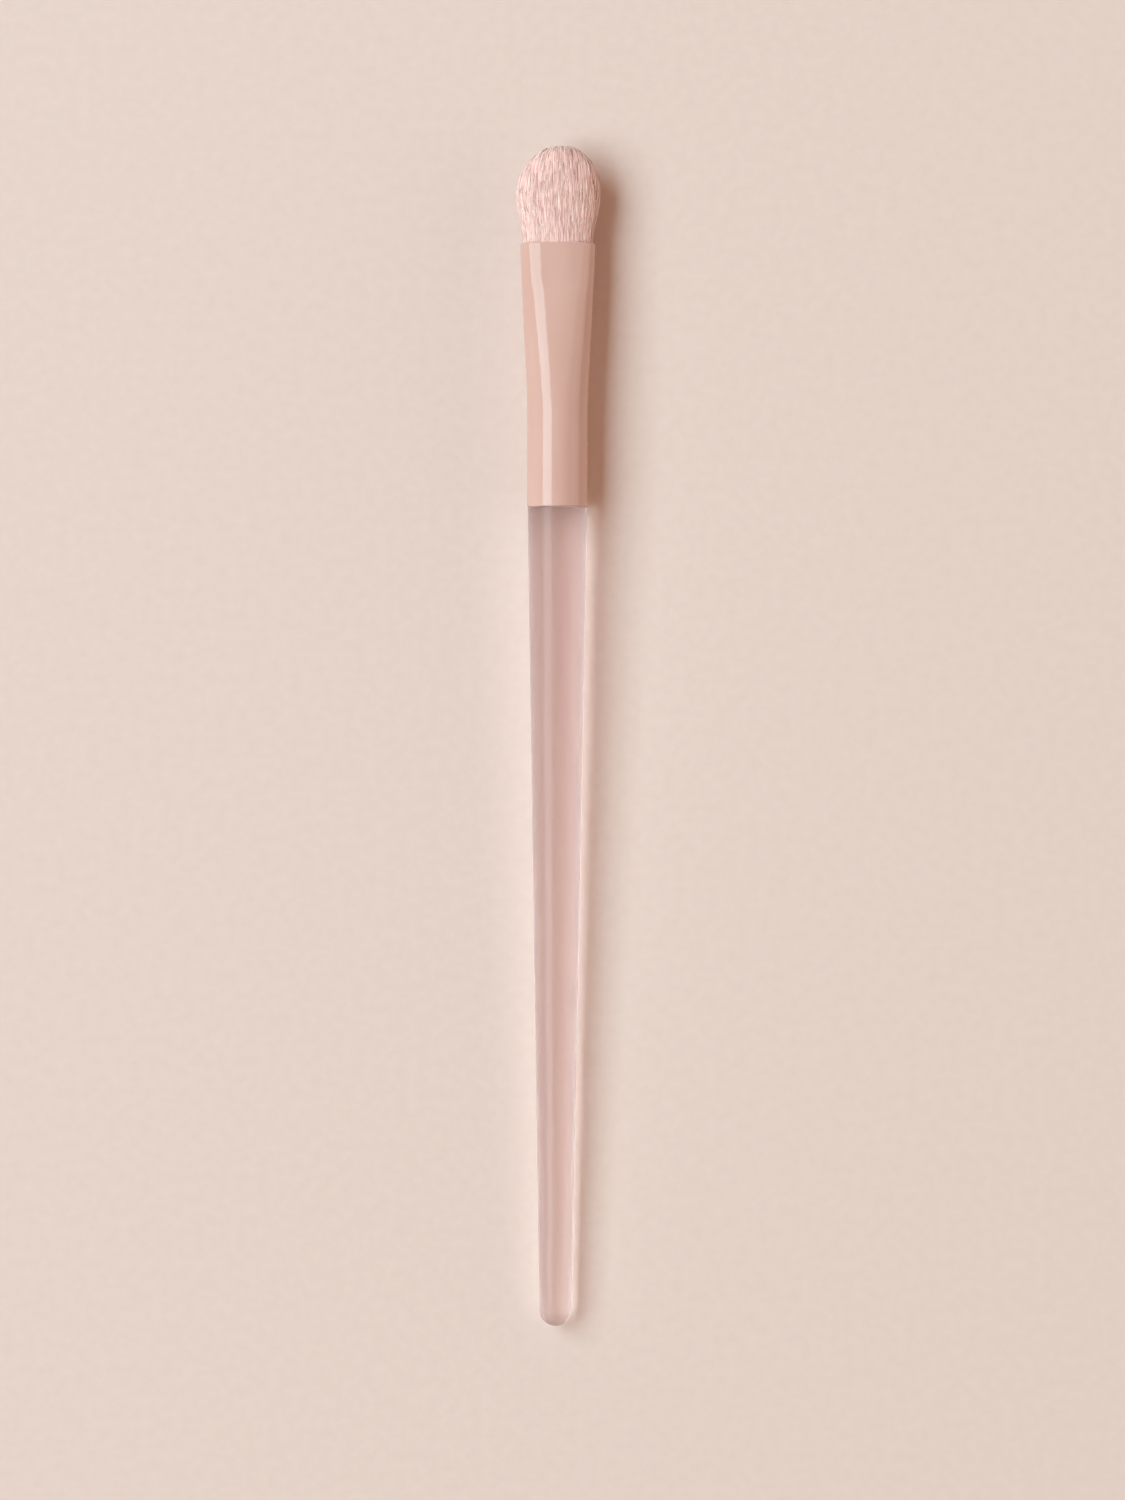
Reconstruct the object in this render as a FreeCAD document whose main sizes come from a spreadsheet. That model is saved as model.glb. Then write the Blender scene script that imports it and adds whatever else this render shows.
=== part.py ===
import FreeCAD, Part
import Sketcher

import math
import os

# Eyeshadow brush: a clear tapered handle, a drawn metal ferrule pressed flat at its mouth, and a
# domed tuft of bristles that is tied with thread, potted in resin and glued to the handle's tenon.
#
# Every piece is drawn upright on its own Z axis, bristles up, with zero at the shoulder where the
# ferrule meets the handle. lay_down then tips the whole brush over on to its tail and the ferrule's
# lower rim, as it lies on a table: bristles towards +Y, a pressed flat face up, the table at zero.

# Lengths in millimetres, angles in degrees
SIZES = {
    # Handle: a straight taper from the shoulder, just inside the ferrule's outline, to a ball tail
    "handle_length": 109.3,
    "shoulder_inset": 0.1,
    "shoulder_round": 0.2,
    "tail_diameter": 4.3,
    # Tenon of the handle, with its ring grooves for glue
    "tenon_length": 12.0,
    "tenon_chamfer": 0.6,
    "glue_gap": 0.15,
    "groove_radius": 0.3,
    # Ferrule: a round barrel, a flare, a short press ramp and a flat mouth
    "ferrule_length": 35.0,
    "ferrule_wall": 0.35,
    "barrel_diameter": 8.1,
    "barrel_length": 12.9,
    "ramp_length": 2.4,
    "flat_length": 5.2,
    "mouth_width": 10.05,
    "mouth_thickness": 5.2,
    "rim_round": 0.12,
    # Bristle tuft: the tied neck inside and the domed head outside
    "resin_wall": 0.75,
    "neck_length": 6.0,
    "head_length": 13.0,
    "head_width": 11.25,
    "head_thickness": 5.8,
    "belly_height": 6.4,
    "tuft_clearance": 0.06,
    # Binding thread round the neck
    "thread_diameter": 0.3,
    "thread_spacing": 0.06,
    "thread_offset": 1.2,
    # Resin plug round the neck
    "plug_gap": 0.5,
    "plug_floor": 1.5,
    # Where the end arcs of every oval section turn into its flatter face arcs
    "oval_corner_angle": 75,
    # Gap between bonded faces, and how far a cut runs past what it cuts
    "bond_clearance": 0.02,
    "cut_overrun": 1.0,
}
GROOVE_COUNT = 3
THREAD_TURNS = 5

# Stations of the pressed part of the ferrule, zone by zone. Each row holds the height within the
# zone, then how far width and thickness have gone from the round barrel to the flat mouth. The
# rows are set so that one zone runs smoothly into the next.
FLARE_SHARES = ((0.0, 0.0, 0.0), (0.333, 0.18, 0.15), (0.667, 0.43, 0.36), (1.0, 0.644, 0.59))
RAMP_SHARES = ((0.0, 0.644, 0.59), (0.333, 0.687, 0.676), (0.667, 0.731, 0.8), (1.0, 0.775, 0.875))
FLAT_SHARES = ((0.0, 0.775, 0.875), (1.0, 1.0, 1.0))
# Stations of the head: height and swell between mouth and belly, then quarter turns up the dome
BELLY_SHARES = ((0.0, 0.0), (0.3, 0.34), (0.65, 0.77), (1.0, 1.0))
DOME_SHARES = (0.25, 0.48, 0.68, 0.84, 0.96)

# Sizes that follow from the driving ones, as sheet expressions
SHOULDER_RADIUS = "(Sizes.barrel_diameter / 2 - Sizes.shoulder_inset)"
TAIL_RADIUS = "(Sizes.tail_diameter / 2)"
TAIL_CENTRE = f"(Sizes.handle_length - {TAIL_RADIUS})"
TAPER_RUN = f"({TAIL_CENTRE} - Sizes.shoulder_round)"
TAPER_ANGLE = (
    f"(acos({TAIL_RADIUS} / hypot({SHOULDER_RADIUS}; {TAPER_RUN}))"
    f" - atan2({TAPER_RUN}; {SHOULDER_RADIUS}))"
)
BARREL_RADIUS = "(Sizes.barrel_diameter / 2)"
BORE_RADIUS = f"({BARREL_RADIUS} - Sizes.ferrule_wall)"
TENON_RADIUS = f"({BORE_RADIUS} - Sizes.glue_gap)"
GROOVE_PITCH = f"(Sizes.tenon_length / {GROOVE_COUNT + 1})"
FLAT_FOOT = "(Sizes.ferrule_length - Sizes.flat_length)"
RAMP_FOOT = f"({FLAT_FOOT} - Sizes.ramp_length)"
RESIN_INSET = "(Sizes.ferrule_wall + Sizes.bond_clearance)"
TUFT_INSET = "(Sizes.ferrule_wall + Sizes.tuft_clearance)"
PLUG_FOOT = "(Sizes.tenon_length + Sizes.plug_gap)"
ROOT_FOOT = f"({PLUG_FOOT} + Sizes.plug_floor)"
NECK_TOP = f"({ROOT_FOOT} + Sizes.neck_length)"
NECK_RADIUS = f"({BORE_RADIUS} - Sizes.resin_wall)"
THREAD_PITCH = "(Sizes.thread_diameter + Sizes.thread_spacing)"
THREAD_FOOT = f"({ROOT_FOOT} + Sizes.thread_offset)"
THREAD_TOP = f"({THREAD_FOOT} + {THREAD_TURNS} * {THREAD_PITCH} + Sizes.thread_diameter)"
TIP_HEIGHT = "(Sizes.ferrule_length + Sizes.head_length)"
# Lean of the axis when the brush lies on its ball tail and on the rounded rim of the ferrule
RIM_ACROSS = f"({BARREL_RADIUS} - Sizes.rim_round)"
RIM_ALONG = f"({TAIL_CENTRE} + Sizes.rim_round)"
REST_ANGLE = (
    f"(acos(({TAIL_RADIUS} - Sizes.rim_round) / hypot({RIM_ACROSS}; {RIM_ALONG}))"
    f" - atan2({RIM_ALONG}; {RIM_ACROSS}))"
)

doc = FreeCAD.newDocument("eyeshadow_brush")
sheet = doc.addObject("Spreadsheet::Sheet", "Sizes")
for row, (alias, size) in enumerate(SIZES.items(), start=1):
    sheet.set(f"A{row}", alias)
    sheet.set(f"B{row}", str(size))
    sheet.setAlias(f"B{row}", alias)
doc.recompute()


def number(expression):
    """Present value of a sheet expression."""
    return float(sheet.evalExpression(expression))


def new_sketch(body, name, plane, height="0"):
    """Empty sketch on an origin plane of a body, raised by height along the plane's normal."""
    sketch = body.newObject("Sketcher::SketchObject", name)
    support = next(item for item in body.Origin.OriginFeatures if item.Role == plane)
    sketch.AttachmentSupport = (support, "")
    sketch.MapMode = "FlatFace"
    sketch.setExpression(".AttachmentOffset.Base.z", height)
    return sketch


def bind(sketch, expression, kind, *geometry):
    """Sketch dimension that follows a sheet expression."""
    index = sketch.addConstraint(Sketcher.Constraint(kind, *geometry, number(expression)))
    sketch.renameConstraint(index, f"size_{index}")
    sketch.setExpression(f"Constraints.size_{index}", expression)


def bind_point(sketch, geometry, end, across, along):
    """Pin one end of a sketch line or arc at two expressions, or on an axis where they are zero."""
    if across == "0":
        sketch.addConstraint(Sketcher.Constraint("PointOnObject", geometry, end, -2))
    else:
        bind(sketch, across, "DistanceX", -1, 1, geometry, end)
    if along == "0":
        sketch.addConstraint(Sketcher.Constraint("PointOnObject", geometry, end, -1))
    else:
        bind(sketch, along, "DistanceY", -1, 1, geometry, end)


def arc_between(start, finish, centre):
    """Anticlockwise arc about a centre, from one point to another."""
    first = math.atan2(start.y - centre.y, start.x - centre.x)
    last = math.atan2(finish.y - centre.y, finish.x - centre.x)
    if last <= first:
        last += 2 * math.pi
    circle = Part.Circle(centre, FreeCAD.Vector(0, 0, 1), (start - centre).Length)
    return Part.ArcOfCircle(circle, first, last)


def draw_profile(sketch, corners, arcs=None):
    """Closed outline of lines and arcs, drawn anticlockwise.

    corners holds (across, along) expressions. arcs maps the number of the corner that an arc
    starts from to its centre, as (across, along) with None for the one that the arc's ends settle.
    """
    arcs = arcs or {}
    first = sketch.GeometryCount
    points = [FreeCAD.Vector(number(across), number(along), 0) for across, along in corners]
    for index, start in enumerate(points):
        finish = points[(index + 1) % len(points)]
        if index not in arcs:
            sketch.addGeometry(Part.LineSegment(start, finish))
            continue
        across, along = arcs[index]
        chord = finish - start
        level = (start + finish).dot(chord) / 2
        if along is None:
            x = number(across)
            centre = FreeCAD.Vector(x, (level - x * chord.x) / chord.y, 0)
        else:
            y = number(along)
            centre = FreeCAD.Vector((level - y * chord.y) / chord.x, y, 0)
        sketch.addGeometry(arc_between(start, finish, centre))
    for index, (across, along) in enumerate(corners):
        following = first + (index + 1) % len(corners)
        sketch.addConstraint(Sketcher.Constraint("Coincident", first + index, 2, following, 1))
        bind_point(sketch, first + index, 1, across, along)
    for index, (across, along) in arcs.items():
        if along is not None:
            bind(sketch, along, "DistanceY", -1, 1, first + index, 3)
        elif across == "0":
            sketch.addConstraint(Sketcher.Constraint("PointOnObject", first + index, 3, -2))
        else:
            bind(sketch, across, "DistanceX", -1, 1, first + index, 3)


def draw_oval(sketch, half_width, half_thickness):
    """Oval of two end arcs and two flatter face arcs that run into each other."""
    corner = "Sizes.oval_corner_angle"
    spread = f"(sin({corner}) + cos({corner}) - 1)"
    end_radius = f"(({half_thickness} * cos({corner}) - {half_width} * (1 - sin({corner}))) / {spread})"
    face_radius = f"(({half_width} * sin({corner}) - {half_thickness} * (1 - cos({corner}))) / {spread})"
    end_centre = f"({half_width} - {end_radius})"
    face_centre = f"({face_radius} - {half_thickness})"
    joint_across = f"({end_centre} + {end_radius} * cos({corner}))"
    joint_along = f"({end_radius} * sin({corner}))"
    x = number(joint_across)
    y = number(joint_along)
    joints = [FreeCAD.Vector(*place, 0) for place in ((x, y), (-x, y), (-x, -y), (x, -y))]
    reach = number(end_centre)
    drop = number(face_centre)
    centres = [FreeCAD.Vector(*place, 0) for place in ((reach, 0), (0, -drop), (-reach, 0), (0, drop))]
    for index, centre in enumerate(centres):
        sketch.addGeometry(arc_between(joints[index - 1], joints[index], centre))
    for index in range(len(centres)):
        following = (index + 1) % len(centres)
        sketch.addConstraint(Sketcher.Constraint("Coincident", index, 2, following, 1))
    bind_point(sketch, 0, 2, joint_across, joint_along)
    sketch.addConstraint(Sketcher.Constraint("Symmetric", 0, 2, 1, 2, -2))
    sketch.addConstraint(Sketcher.Constraint("Symmetric", 0, 2, 2, 2, -1, 1))
    sketch.addConstraint(Sketcher.Constraint("Symmetric", 0, 2, 3, 2, -1))
    bind(sketch, end_centre, "DistanceX", -1, 1, 0, 3)
    bind(sketch, face_centre, "DistanceY", 1, 3, -1, 1)
    bind(sketch, end_centre, "DistanceX", 2, 3, -1, 1)
    bind(sketch, face_centre, "DistanceY", -1, 1, 3, 3)


def oval(body, name, height, half_width, half_thickness):
    """Level oval section of a body."""
    sketch = new_sketch(body, name, "XY_Plane", height)
    draw_oval(sketch, half_width, half_thickness)
    return sketch


def turn(body, kind, name, sketch):
    """Full turn of a profile round the body's axis, added or cut away."""
    feature = body.newObject(f"PartDesign::{kind}", name)
    feature.Profile = sketch
    feature.ReferenceAxis = (sketch, ["V_Axis"])
    feature.Angle = 360
    return feature


def loft(body, kind, name, sections, ruled=False):
    """Skin through level sections, added or cut away."""
    feature = body.newObject(f"PartDesign::{kind}", name)
    feature.Profile = sections[0]
    feature.Sections = sections[1:]
    feature.Ruled = ruled
    return feature


def repeat_up(body, name, feature, sketch):
    """Copies of a ring feature at the tenon's groove pitch."""
    pattern = body.newObject("PartDesign::LinearPattern", name)
    pattern.Originals = [feature]
    pattern.Direction = (sketch, ["V_Axis"])
    pattern.Occurrences = GROOVE_COUNT
    pattern.setExpression("Length", f"{GROOVE_PITCH} * {GROOVE_COUNT - 1}")
    body.Tip = pattern
    return pattern


def press_section(body, name, zone_foot, zone_length, shares, inset):
    """Section of the pressed tube at one station, drawn in from its outside by inset."""
    height_share, width_share, thickness_share = shares
    width = f"Sizes.barrel_diameter + {width_share} * (Sizes.mouth_width - Sizes.barrel_diameter)"
    thickness = f"Sizes.barrel_diameter - {thickness_share} * (Sizes.barrel_diameter - Sizes.mouth_thickness)"
    return oval(
        body,
        name,
        f"{zone_foot} + {height_share} * {zone_length}",
        f"(({width}) / 2 - {inset})",
        f"(({thickness}) / 2 - {inset})",
    )


def press_lofts(body, kind, name, inset):
    """Pressed tube from the top of the barrel to the mouth, one skin for each zone."""
    zones = (
        ("flare", "Sizes.barrel_length", f"({RAMP_FOOT} - Sizes.barrel_length)", FLARE_SHARES),
        ("ramp", RAMP_FOOT, "Sizes.ramp_length", RAMP_SHARES),
        ("flat", FLAT_FOOT, "Sizes.flat_length", FLAT_SHARES),
    )
    for zone, foot, length, table in zones:
        sections = [
            press_section(body, f"{name}_{zone}_{index}", foot, length, shares, inset)
            for index, shares in enumerate(table)
        ]
        skin = loft(body, kind, f"{name}_{zone}", sections)
    return skin


def lay_down(body):
    """Tip a piece over with the rest of the brush, on to the tail and the ferrule's rim."""
    shift = f"(({TAIL_CENTRE} - {TIP_HEIGHT}) * cos({REST_ANGLE}) + {TAIL_RADIUS}) / 2"
    body.Placement = FreeCAD.Placement(FreeCAD.Vector(), FreeCAD.Rotation(FreeCAD.Vector(1, 0, 0), -90))
    body.setExpression(".Placement.Rotation.Angle", f"{REST_ANGLE} - 90 deg")
    body.setExpression(".Placement.Base.y", shift)
    body.setExpression(".Placement.Base.z", f"{TAIL_RADIUS} + {TAIL_CENTRE} * sin({REST_ANGLE})")


def new_piece(label):
    """Body of one physical piece, lying with the rest of the brush."""
    body = doc.addObject("PartDesign::Body", label)
    body.Label = label
    lay_down(body)
    return body


def make_handle():
    """Clear rod: ball tail, straight taper, rounded shoulder and grooved tenon."""
    body = new_piece("handle")
    profile = new_sketch(body, "handle_profile", "XZ_Plane")
    tangent_across = f"({TAIL_RADIUS} * cos({TAPER_ANGLE}))"
    tangent_along = f"(-{TAIL_CENTRE} - {TAIL_RADIUS} * sin({TAPER_ANGLE}))"
    corners = [
        ("0", "-Sizes.handle_length"),
        (tangent_across, tangent_along),
        (SHOULDER_RADIUS, "-Sizes.shoulder_round"),
        (f"({SHOULDER_RADIUS} - Sizes.shoulder_round)", "0"),
        (TENON_RADIUS, "0"),
        (TENON_RADIUS, "(Sizes.tenon_length - Sizes.tenon_chamfer)"),
        (f"({TENON_RADIUS} - Sizes.tenon_chamfer)", "Sizes.tenon_length"),
        ("0", "Sizes.tenon_length"),
    ]
    tail_arc, shoulder_arc = 0, 2
    draw_profile(profile, corners, {tail_arc: ("0", None), shoulder_arc: (None, "-Sizes.shoulder_round")})
    turn(body, "Revolution", "rod", profile)
    ring = new_sketch(body, "groove_profile", "XZ_Plane")
    centre = FreeCAD.Vector(number(TENON_RADIUS), number(GROOVE_PITCH), 0)
    ring.addGeometry(Part.Circle(centre, FreeCAD.Vector(0, 0, 1), number("Sizes.groove_radius")))
    bind_point(ring, 0, 3, TENON_RADIUS, GROOVE_PITCH)
    bind(ring, "Sizes.groove_radius", "Radius", 0)
    groove = turn(body, "Groove", "glue_groove", ring)
    repeat_up(body, "glue_grooves", groove, ring)
    return body


def make_ferrule():
    """Drawn tube: round barrel, then flared and pressed flat to the mouth."""
    body = new_piece("ferrule")
    ring = new_sketch(body, "barrel_profile", "XZ_Plane")
    corners = [
        (BORE_RADIUS, "0"),
        (f"({BARREL_RADIUS} - Sizes.rim_round)", "0"),
        (BARREL_RADIUS, "Sizes.rim_round"),
        (BARREL_RADIUS, "Sizes.barrel_length"),
        (BORE_RADIUS, "Sizes.barrel_length"),
    ]
    rim_arc = 1
    draw_profile(ring, corners, {rim_arc: (None, "Sizes.rim_round")})
    turn(body, "Revolution", "barrel", ring)
    press_lofts(body, "AdditiveLoft", "tube", "0")
    bore = press_lofts(body, "SubtractiveLoft", "bore", "Sizes.ferrule_wall")
    doc.recompute()
    mouth_face = max(bore.Shape.Faces, key=lambda face: face.CenterOfMass.z)
    rims = [
        f"Edge{index}"
        for index, edge in enumerate(bore.Shape.Edges, start=1)
        if any(edge.isSame(rim_edge) for rim_edge in mouth_face.OuterWire.Edges)
    ]
    rim = body.newObject("PartDesign::Fillet", "mouth_rim")
    rim.Base = (bore, rims)
    rim.setExpression("Radius", "Sizes.rim_round")
    return body


def make_bristle_tuft():
    """Bundle of filaments: tied neck, straight run up to the mouth, belly and dome."""
    body = new_piece("bristle_tuft")
    neck = oval(body, "neck_section", ROOT_FOOT, NECK_RADIUS, NECK_RADIUS)
    pad = body.newObject("PartDesign::Pad", "tied_neck")
    pad.Profile = neck
    pad.setExpression("Length", "Sizes.neck_length")
    run = [oval(body, "neck_end", NECK_TOP, NECK_RADIUS, NECK_RADIUS)]
    for index, shares in enumerate(FLAT_SHARES):
        run.append(press_section(body, f"run_{index}", FLAT_FOOT, "Sizes.flat_length", shares, TUFT_INSET))
    loft(body, "AdditiveLoft", "straight_run", run, ruled=True)
    mouth_width = f"(Sizes.mouth_width / 2 - {TUFT_INSET})"
    mouth_thickness = f"(Sizes.mouth_thickness / 2 - {TUFT_INSET})"
    head = []
    for height_share, swell_share in BELLY_SHARES:
        height = f"Sizes.ferrule_length + {height_share} * Sizes.belly_height"
        widening = f"(Sizes.head_width / 2 - {mouth_width})"
        half_width = f"({mouth_width} + {swell_share} * {widening})"
        deepening = f"(Sizes.head_thickness / 2 - {mouth_thickness})"
        half_thickness = f"({mouth_thickness} + {swell_share} * {deepening})"
        head.append(oval(body, f"belly_{len(head)}", height, half_width, half_thickness))
    for quarter_share in DOME_SHARES:
        climb = f"(90 * {quarter_share})"
        dome_height = "(Sizes.head_length - Sizes.belly_height)"
        height = f"Sizes.ferrule_length + Sizes.belly_height + {dome_height} * sin{climb}"
        half_width = f"(Sizes.head_width / 2 * cos{climb})"
        half_thickness = f"(Sizes.head_thickness / 2 * cos{climb})"
        head.append(oval(body, f"dome_{len(head)}", height, half_width, half_thickness))
    loft(body, "AdditiveLoft", "head", head)
    return body


def make_binding_thread():
    """Thread wound round the tied neck."""
    body = new_piece("binding_thread")
    section = new_sketch(body, "thread_section", "XZ_Plane")
    thread_radius = "(Sizes.thread_diameter / 2)"
    across = f"({NECK_RADIUS} + Sizes.bond_clearance + {thread_radius})"
    along = f"({THREAD_FOOT} + {thread_radius})"
    centre = FreeCAD.Vector(number(across), number(along), 0)
    section.addGeometry(Part.Circle(centre, FreeCAD.Vector(0, 0, 1), number(thread_radius)))
    bind_point(section, 0, 3, across, along)
    bind(section, thread_radius, "Radius", 0)
    winding = body.newObject("PartDesign::AdditiveHelix", "winding")
    winding.Profile = section
    winding.ReferenceAxis = (section, ["V_Axis"])
    winding.Mode = "pitch-turns-angle"
    winding.Turns = THREAD_TURNS
    winding.setExpression("Pitch", THREAD_PITCH)
    return body


def make_resin_plug():
    """Cured resin that fills the tube round the tied neck, with room for the thread."""
    body = new_piece("resin_plug")
    stem = new_sketch(body, "stem_profile", "XZ_Plane")
    fill_radius = f"({BARREL_RADIUS} - {RESIN_INSET})"
    corners = [
        ("0", "0"),
        (fill_radius, "0"),
        (fill_radius, "Sizes.barrel_length"),
        ("0", "Sizes.barrel_length"),
    ]
    draw_profile(stem, corners)
    turn(body, "Revolution", "stem", stem)
    press_lofts(body, "AdditiveLoft", "fill", RESIN_INSET)
    trim = new_sketch(body, "trim_profile", "XZ_Plane")
    beyond = "(Sizes.mouth_width + Sizes.cut_overrun)"
    above = "(Sizes.ferrule_length + Sizes.cut_overrun)"
    neck_wall = f"({NECK_RADIUS} + Sizes.bond_clearance)"
    thread_wall = f"({neck_wall} + Sizes.thread_diameter + Sizes.bond_clearance)"
    thread_floor = f"({THREAD_FOOT} - Sizes.bond_clearance)"
    thread_roof = f"({THREAD_TOP} + Sizes.bond_clearance)"
    draw_profile(
        trim,
        [("0", "-Sizes.cut_overrun"), (beyond, "-Sizes.cut_overrun"), (beyond, PLUG_FOOT), ("0", PLUG_FOOT)],
    )
    draw_profile(
        trim,
        [
            ("0", f"({ROOT_FOOT} - Sizes.bond_clearance)"),
            (neck_wall, f"({ROOT_FOOT} - Sizes.bond_clearance)"),
            (neck_wall, thread_floor),
            (thread_wall, thread_floor),
            (thread_wall, thread_roof),
            (neck_wall, thread_roof),
            (neck_wall, NECK_TOP),
            (beyond, NECK_TOP),
            (beyond, above),
            ("0", above),
        ],
    )
    turn(body, "Groove", "trim", trim)
    return body


def make_tenon_adhesive():
    """Cured glue sleeve between tenon and barrel, with a ridge in each groove."""
    body = new_piece("tenon_adhesive")
    inner = f"({TENON_RADIUS} + Sizes.bond_clearance)"
    outer = f"({BORE_RADIUS} - Sizes.bond_clearance)"
    top = "(Sizes.tenon_length - Sizes.tenon_chamfer)"
    sleeve = new_sketch(body, "sleeve_profile", "XZ_Plane")
    corners = [
        (inner, "Sizes.bond_clearance"),
        (outer, "Sizes.bond_clearance"),
        (outer, top),
        (inner, top),
    ]
    draw_profile(sleeve, corners)
    turn(body, "Revolution", "sleeve", sleeve)
    ridge = new_sketch(body, "ridge_profile", "XZ_Plane")
    ridge_radius = "(Sizes.groove_radius - Sizes.bond_clearance)"
    ridge_top = (inner, f"({GROOVE_PITCH} + {ridge_radius})")
    ridge_foot = (inner, f"({GROOVE_PITCH} - {ridge_radius})")
    draw_profile(ridge, [ridge_top, ridge_foot], {0: (inner, None)})
    ring = turn(body, "Revolution", "glue_ridge", ridge)
    repeat_up(body, "glue_ridges", ring, ridge)
    return body


pieces = [
    make_handle(),
    make_ferrule(),
    make_bristle_tuft(),
    make_binding_thread(),
    make_resin_plug(),
    make_tenon_adhesive(),
]
doc.recompute()

failed = [item.Label for item in doc.Objects if {"Invalid", "Error"} & set(item.State)]
failed += [piece.Label for piece in pieces if piece.Shape.isNull() or not piece.Shape.isValid()]
if failed:
    raise RuntimeError("not built: " + ", ".join(failed))

os.makedirs("parts", exist_ok=True)
for piece in pieces:
    piece.Shape.exportStep(f"parts/{piece.Label}.step")
    print(piece.Label, len(piece.Shape.Solids), "solid", round(piece.Shape.Volume, 2), "mm3")
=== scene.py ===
"""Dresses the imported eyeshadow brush: clear handle, lacquered ferrule, bristle head and a paper ground."""

import logging
import math
from dataclasses import dataclass
from enum import Enum
from typing import NamedTuple

import bpy
import numpy as np
from mathutils import Matrix


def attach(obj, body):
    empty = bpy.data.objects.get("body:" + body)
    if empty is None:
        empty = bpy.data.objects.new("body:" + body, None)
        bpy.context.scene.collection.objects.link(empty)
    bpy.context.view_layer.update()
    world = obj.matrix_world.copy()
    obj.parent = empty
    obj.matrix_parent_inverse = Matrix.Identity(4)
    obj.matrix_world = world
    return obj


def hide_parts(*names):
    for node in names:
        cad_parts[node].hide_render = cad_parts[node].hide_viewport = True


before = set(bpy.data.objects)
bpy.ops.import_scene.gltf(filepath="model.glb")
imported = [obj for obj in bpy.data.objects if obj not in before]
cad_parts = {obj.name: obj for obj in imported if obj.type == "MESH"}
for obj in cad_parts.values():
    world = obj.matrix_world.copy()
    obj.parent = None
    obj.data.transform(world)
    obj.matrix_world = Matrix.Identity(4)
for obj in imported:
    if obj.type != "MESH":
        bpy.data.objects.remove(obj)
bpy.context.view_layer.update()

LOG = logging.getLogger("eyeshadow_brush")
MM = 0.001
SAME_PLACE = 1e-7
Colour = tuple[float, float, float]


class Slot(Enum):
    """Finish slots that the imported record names."""

    ACRYLIC = "acrylic"
    LACQUER = "lacquered_aluminium"
    BRISTLE = "bristle"
    THREAD = "thread"
    RESIN = "resin"


def srgb(red: float, green: float, blue: float) -> Colour:
    """Turn a screen colour of 0 to 255 into the linear colour that a shader takes.

    Args:
        red: Red part, 0 to 255.
        green: Green part, 0 to 255.
        blue: Blue part, 0 to 255.

    Returns:
        The linear colour, 0 to 1.
    """
    parts = (value / 255.0 for value in (red, green, blue))
    return tuple(v / 12.92 if v <= 0.04045 else ((v + 0.055) / 1.055) ** 2.4 for v in parts)


class Ring(NamedTuple):
    """One cross-section of a piece: its station and its half sizes."""

    station: float
    half_width: float
    half_thickness: float


@dataclass(frozen=True)
class BrushAxis:
    """Line of the brush as it lies on the table, measured from the handle's shoulder towards the head."""

    shoulder_y: float = 30.64536 * MM
    shoulder_z: float = 4.04726 * MM
    rest_angle: float = math.radians(1.01456)

    def placement(self) -> Matrix:
        """Give the matrix from brush measure (across, along, up) to the table."""
        lift = Matrix.Translation((0.0, self.shoulder_y, self.shoulder_z))
        return lift @ Matrix.Rotation(self.rest_angle, 4, "X")

    def lay_down(self, piece: bpy.types.Object) -> None:
        """Put a piece that was modelled in brush measure on the table, with its place in its mesh.

        Args:
            piece: The piece to lay down.
        """
        select_only(piece)
        piece.matrix_world = self.placement()
        bpy.ops.object.transform_apply(location=True, rotation=True, scale=True)


def select_only(piece: bpy.types.Object) -> None:
    """Select one object alone and make it the active one.

    Args:
        piece: The object to select.
    """
    bpy.ops.object.select_all(action="DESELECT")
    piece.select_set(True)
    bpy.context.view_layer.objects.active = piece


def select_ring(piece: bpy.types.Object, station: float) -> None:
    """Select, in edit mode, the points of a piece that lie at one station.

    Args:
        piece: The piece that is in edit mode.
        station: Place along the brush.
    """
    bpy.ops.mesh.select_mode(type="VERT")
    bpy.ops.mesh.select_all(action="DESELECT")
    bpy.ops.object.mode_set(mode="OBJECT")
    for point in piece.data.vertices:
        point.select = abs(point.co.y - station) < SAME_PLACE
    bpy.ops.object.mode_set(mode="EDIT")
    bpy.ops.mesh.select_mode(type="EDGE")


def draw_out(first: Ring, rings: list[Ring]) -> None:
    """Extrude the selected ring through others and close the last one.

    Args:
        first: The ring that is selected.
        rings: The rings to draw it through, in order.
    """
    last = first
    for ring in rings:
        bpy.ops.mesh.extrude_region_move(
            TRANSFORM_OT_translate={"value": (0.0, ring.station - last.station, 0.0)}
        )
        bpy.ops.transform.resize(
            value=(ring.half_width / last.half_width, 1.0, ring.half_thickness / last.half_thickness),
            center_override=(0.0, ring.station, 0.0),
        )
        last = ring
    bpy.ops.mesh.edge_face_add()


def close_up(piece: bpy.types.Object, sharp_angle: float) -> None:
    """Turn a piece's faces outwards, leave edit mode and smooth it up to an angle.

    Args:
        piece: The piece that is in edit mode.
        sharp_angle: Angle above which an edge stays sharp.
    """
    bpy.ops.mesh.select_all(action="SELECT")
    bpy.ops.mesh.normals_make_consistent(inside=False)
    bpy.ops.object.mode_set(mode="OBJECT")
    select_only(piece)
    bpy.ops.object.shade_smooth_by_angle(angle=sharp_angle)


def started(name: str) -> bpy.types.Object:
    """Name the primitive just added and apply its turn and place.

    Args:
        name: Name of the piece.

    Returns:
        The piece, alone selected, at the origin.
    """
    piece = bpy.context.view_layer.objects.active
    piece.name = name
    piece.data.name = name
    bpy.ops.object.transform_apply(location=True, rotation=True, scale=True)
    return piece


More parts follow.
